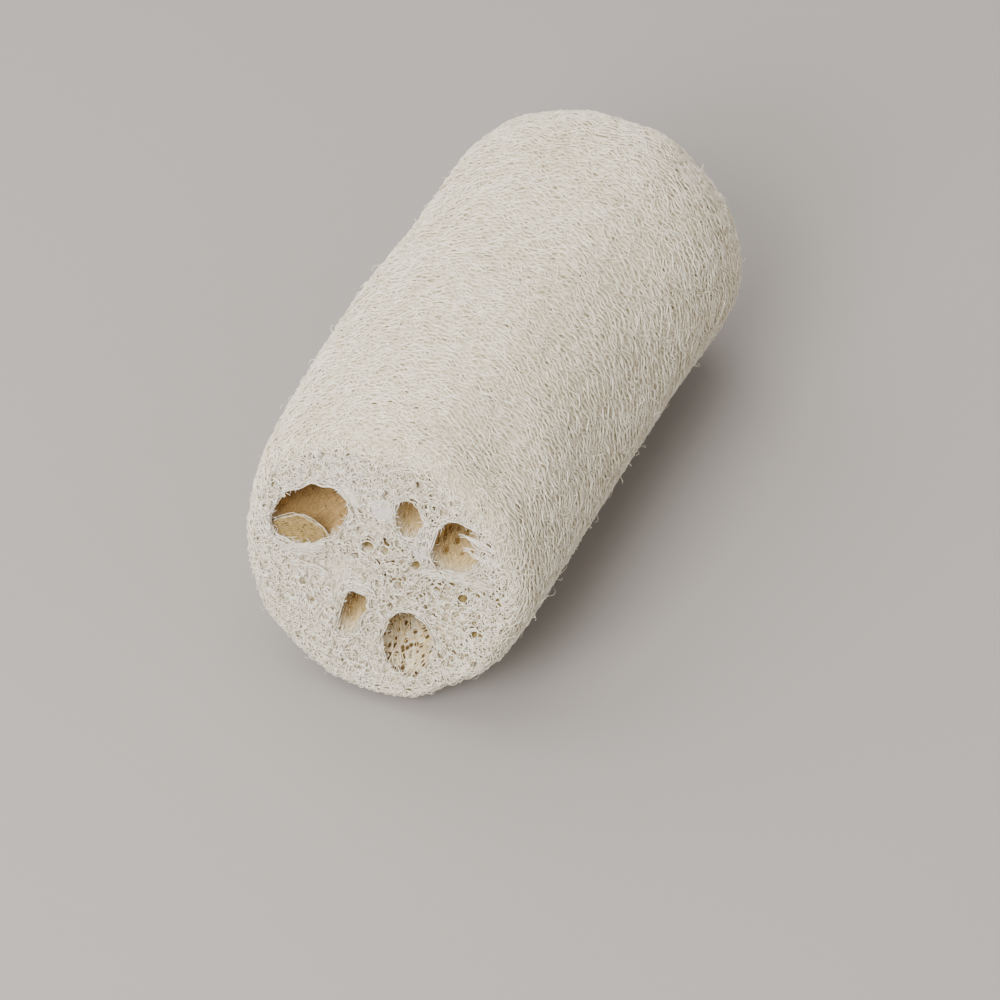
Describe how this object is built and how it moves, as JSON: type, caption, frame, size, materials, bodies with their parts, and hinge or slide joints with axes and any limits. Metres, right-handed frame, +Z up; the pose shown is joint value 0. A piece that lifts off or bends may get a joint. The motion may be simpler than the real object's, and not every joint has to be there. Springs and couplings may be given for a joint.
{
  "type": "natural loofah sponge",
  "caption": "Cut length of dried luffa gourd: a pale round fibre sponge with a raised net skin and lengthwise seed chambers open at both cut ends.",
  "frame": {"origin": "bottom centre of the sponge's box, on the flat spot that it rests on", "axes": "+Y along the gourd's axis from the front cut face to the narrower back cut face, +Z up, +X to the right seen from the front"},
  "size_m": [0.0688, 0.132, 0.0653],
  "materials": {
    "dry_luffa_fibre": "dull, dry plant fibre in an open net"
  },
  "bodies": {
    "root": {"loofah_sponge": "dry_luffa_fibre"}
  },
  "joints": []
}
